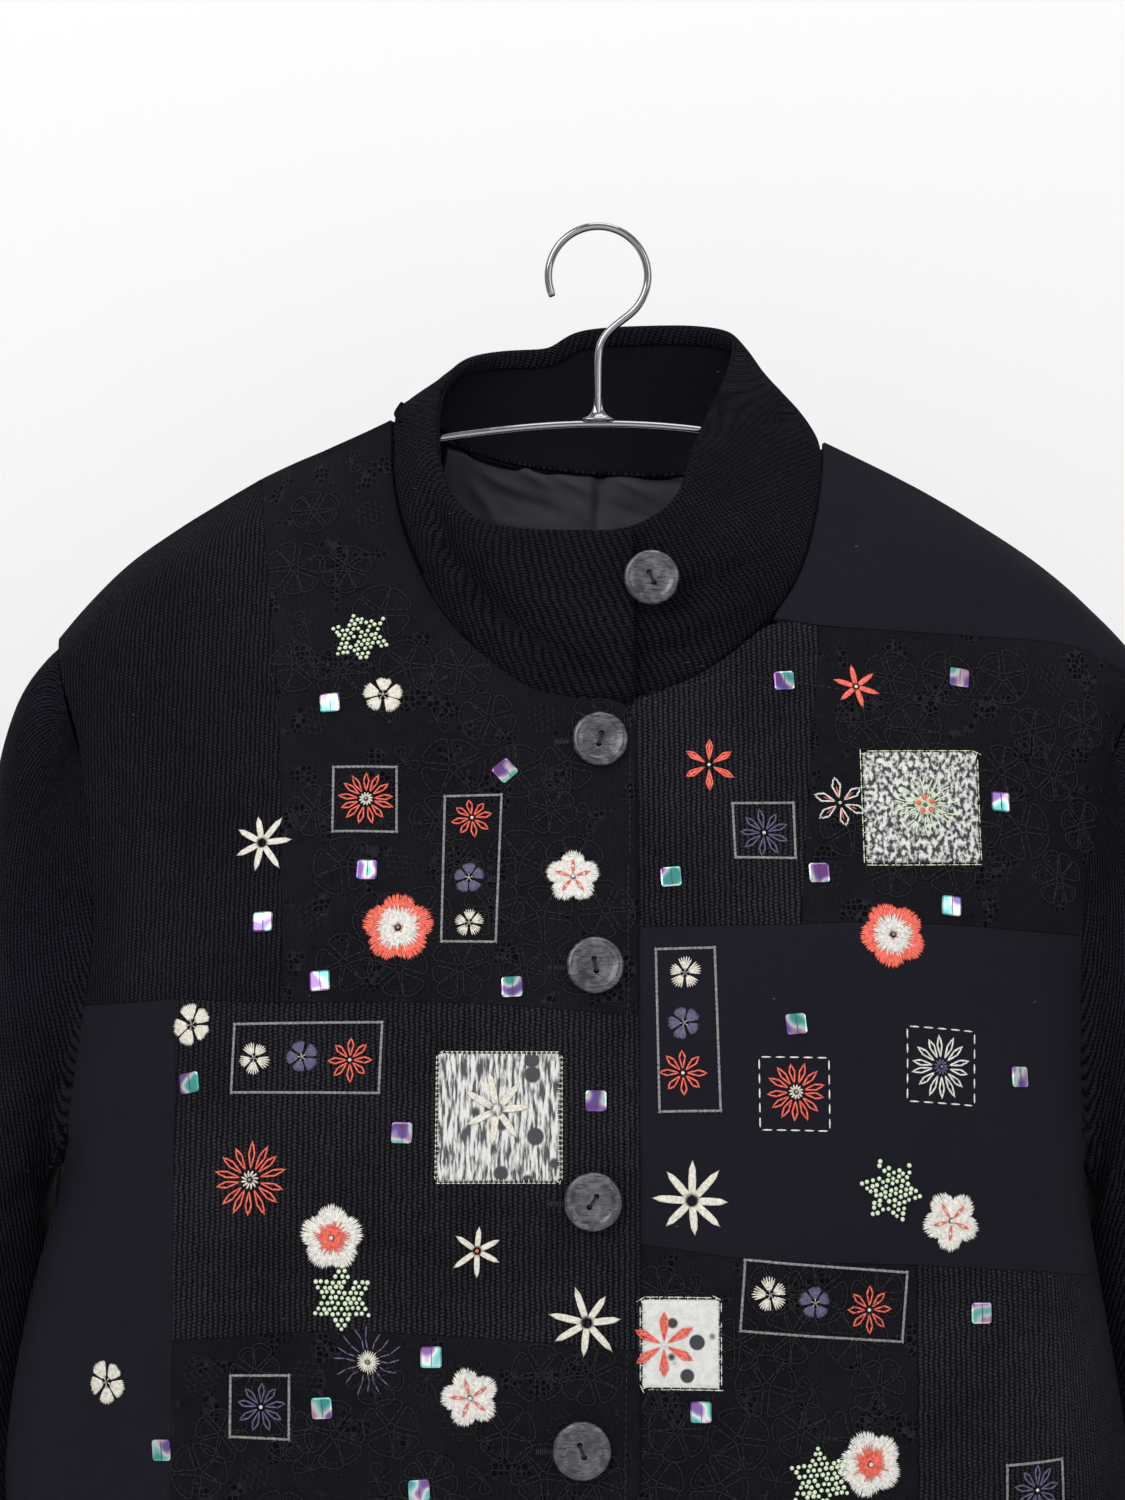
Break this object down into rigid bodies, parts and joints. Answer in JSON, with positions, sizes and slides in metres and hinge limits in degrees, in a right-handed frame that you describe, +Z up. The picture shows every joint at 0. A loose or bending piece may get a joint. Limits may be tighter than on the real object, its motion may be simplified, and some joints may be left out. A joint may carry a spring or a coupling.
{
  "type": "blouson jacket on a wire hanger",
  "caption": "Patchwork blouson jacket in black knit, lace and smooth cloth with a tall knitted stand collar, buttoned front and embroidery, hanging on a wire hanger.",
  "frame": {"origin": "inside top of the hanger's hook, where a rail holds it", "axes": "+Z up, the jacket's front faces -Y, the wearer's right side is at -X"},
  "size_m": [0.758, 0.2165, 0.7475],
  "materials": {
    "knit": "fine matt waffle knit",
    "lace": "corded floral lace over matt cloth",
    "smooth_cloth": "smooth matt twill",
    "lining": "soft satin lining",
    "buttons": "grey marbled, polished",
    "chrome": "polished wire",
    "patches": "printed plain weave"
  },
  "bodies": {
    "root": {"back": "knit", "right_front_shoulder": "knit", "right_front_middle": "knit", "left_front_upper_knit": "knit", "left_front_lower_knit": "knit", "collar": "knit", "sleeve_right": "knit", "sleeve_left": "knit", "cuff_right": "knit", "cuff_left": "knit", "hem_band": "knit", "right_front_upper": "lace", "right_front_lower": "lace", "left_front_upper_lace": "lace", "left_front_lower_lace": "lace", "right_front_side": "smooth_cloth", "left_front_yoke": "smooth_cloth", "left_front_middle": "smooth_cloth", "back_lining": "lining", "collar_lining": "lining", "button_1": "buttons", "button_2": "buttons", "button_3": "buttons", "button_4": "buttons", "button_5": "buttons", "button_6": "buttons", "hanger_bar": "chrome", "hanger_hook": "chrome", "patch_upper": "patches", "patch_middle": "patches", "patch_lower": "patches"}
  },
  "joints": []
}
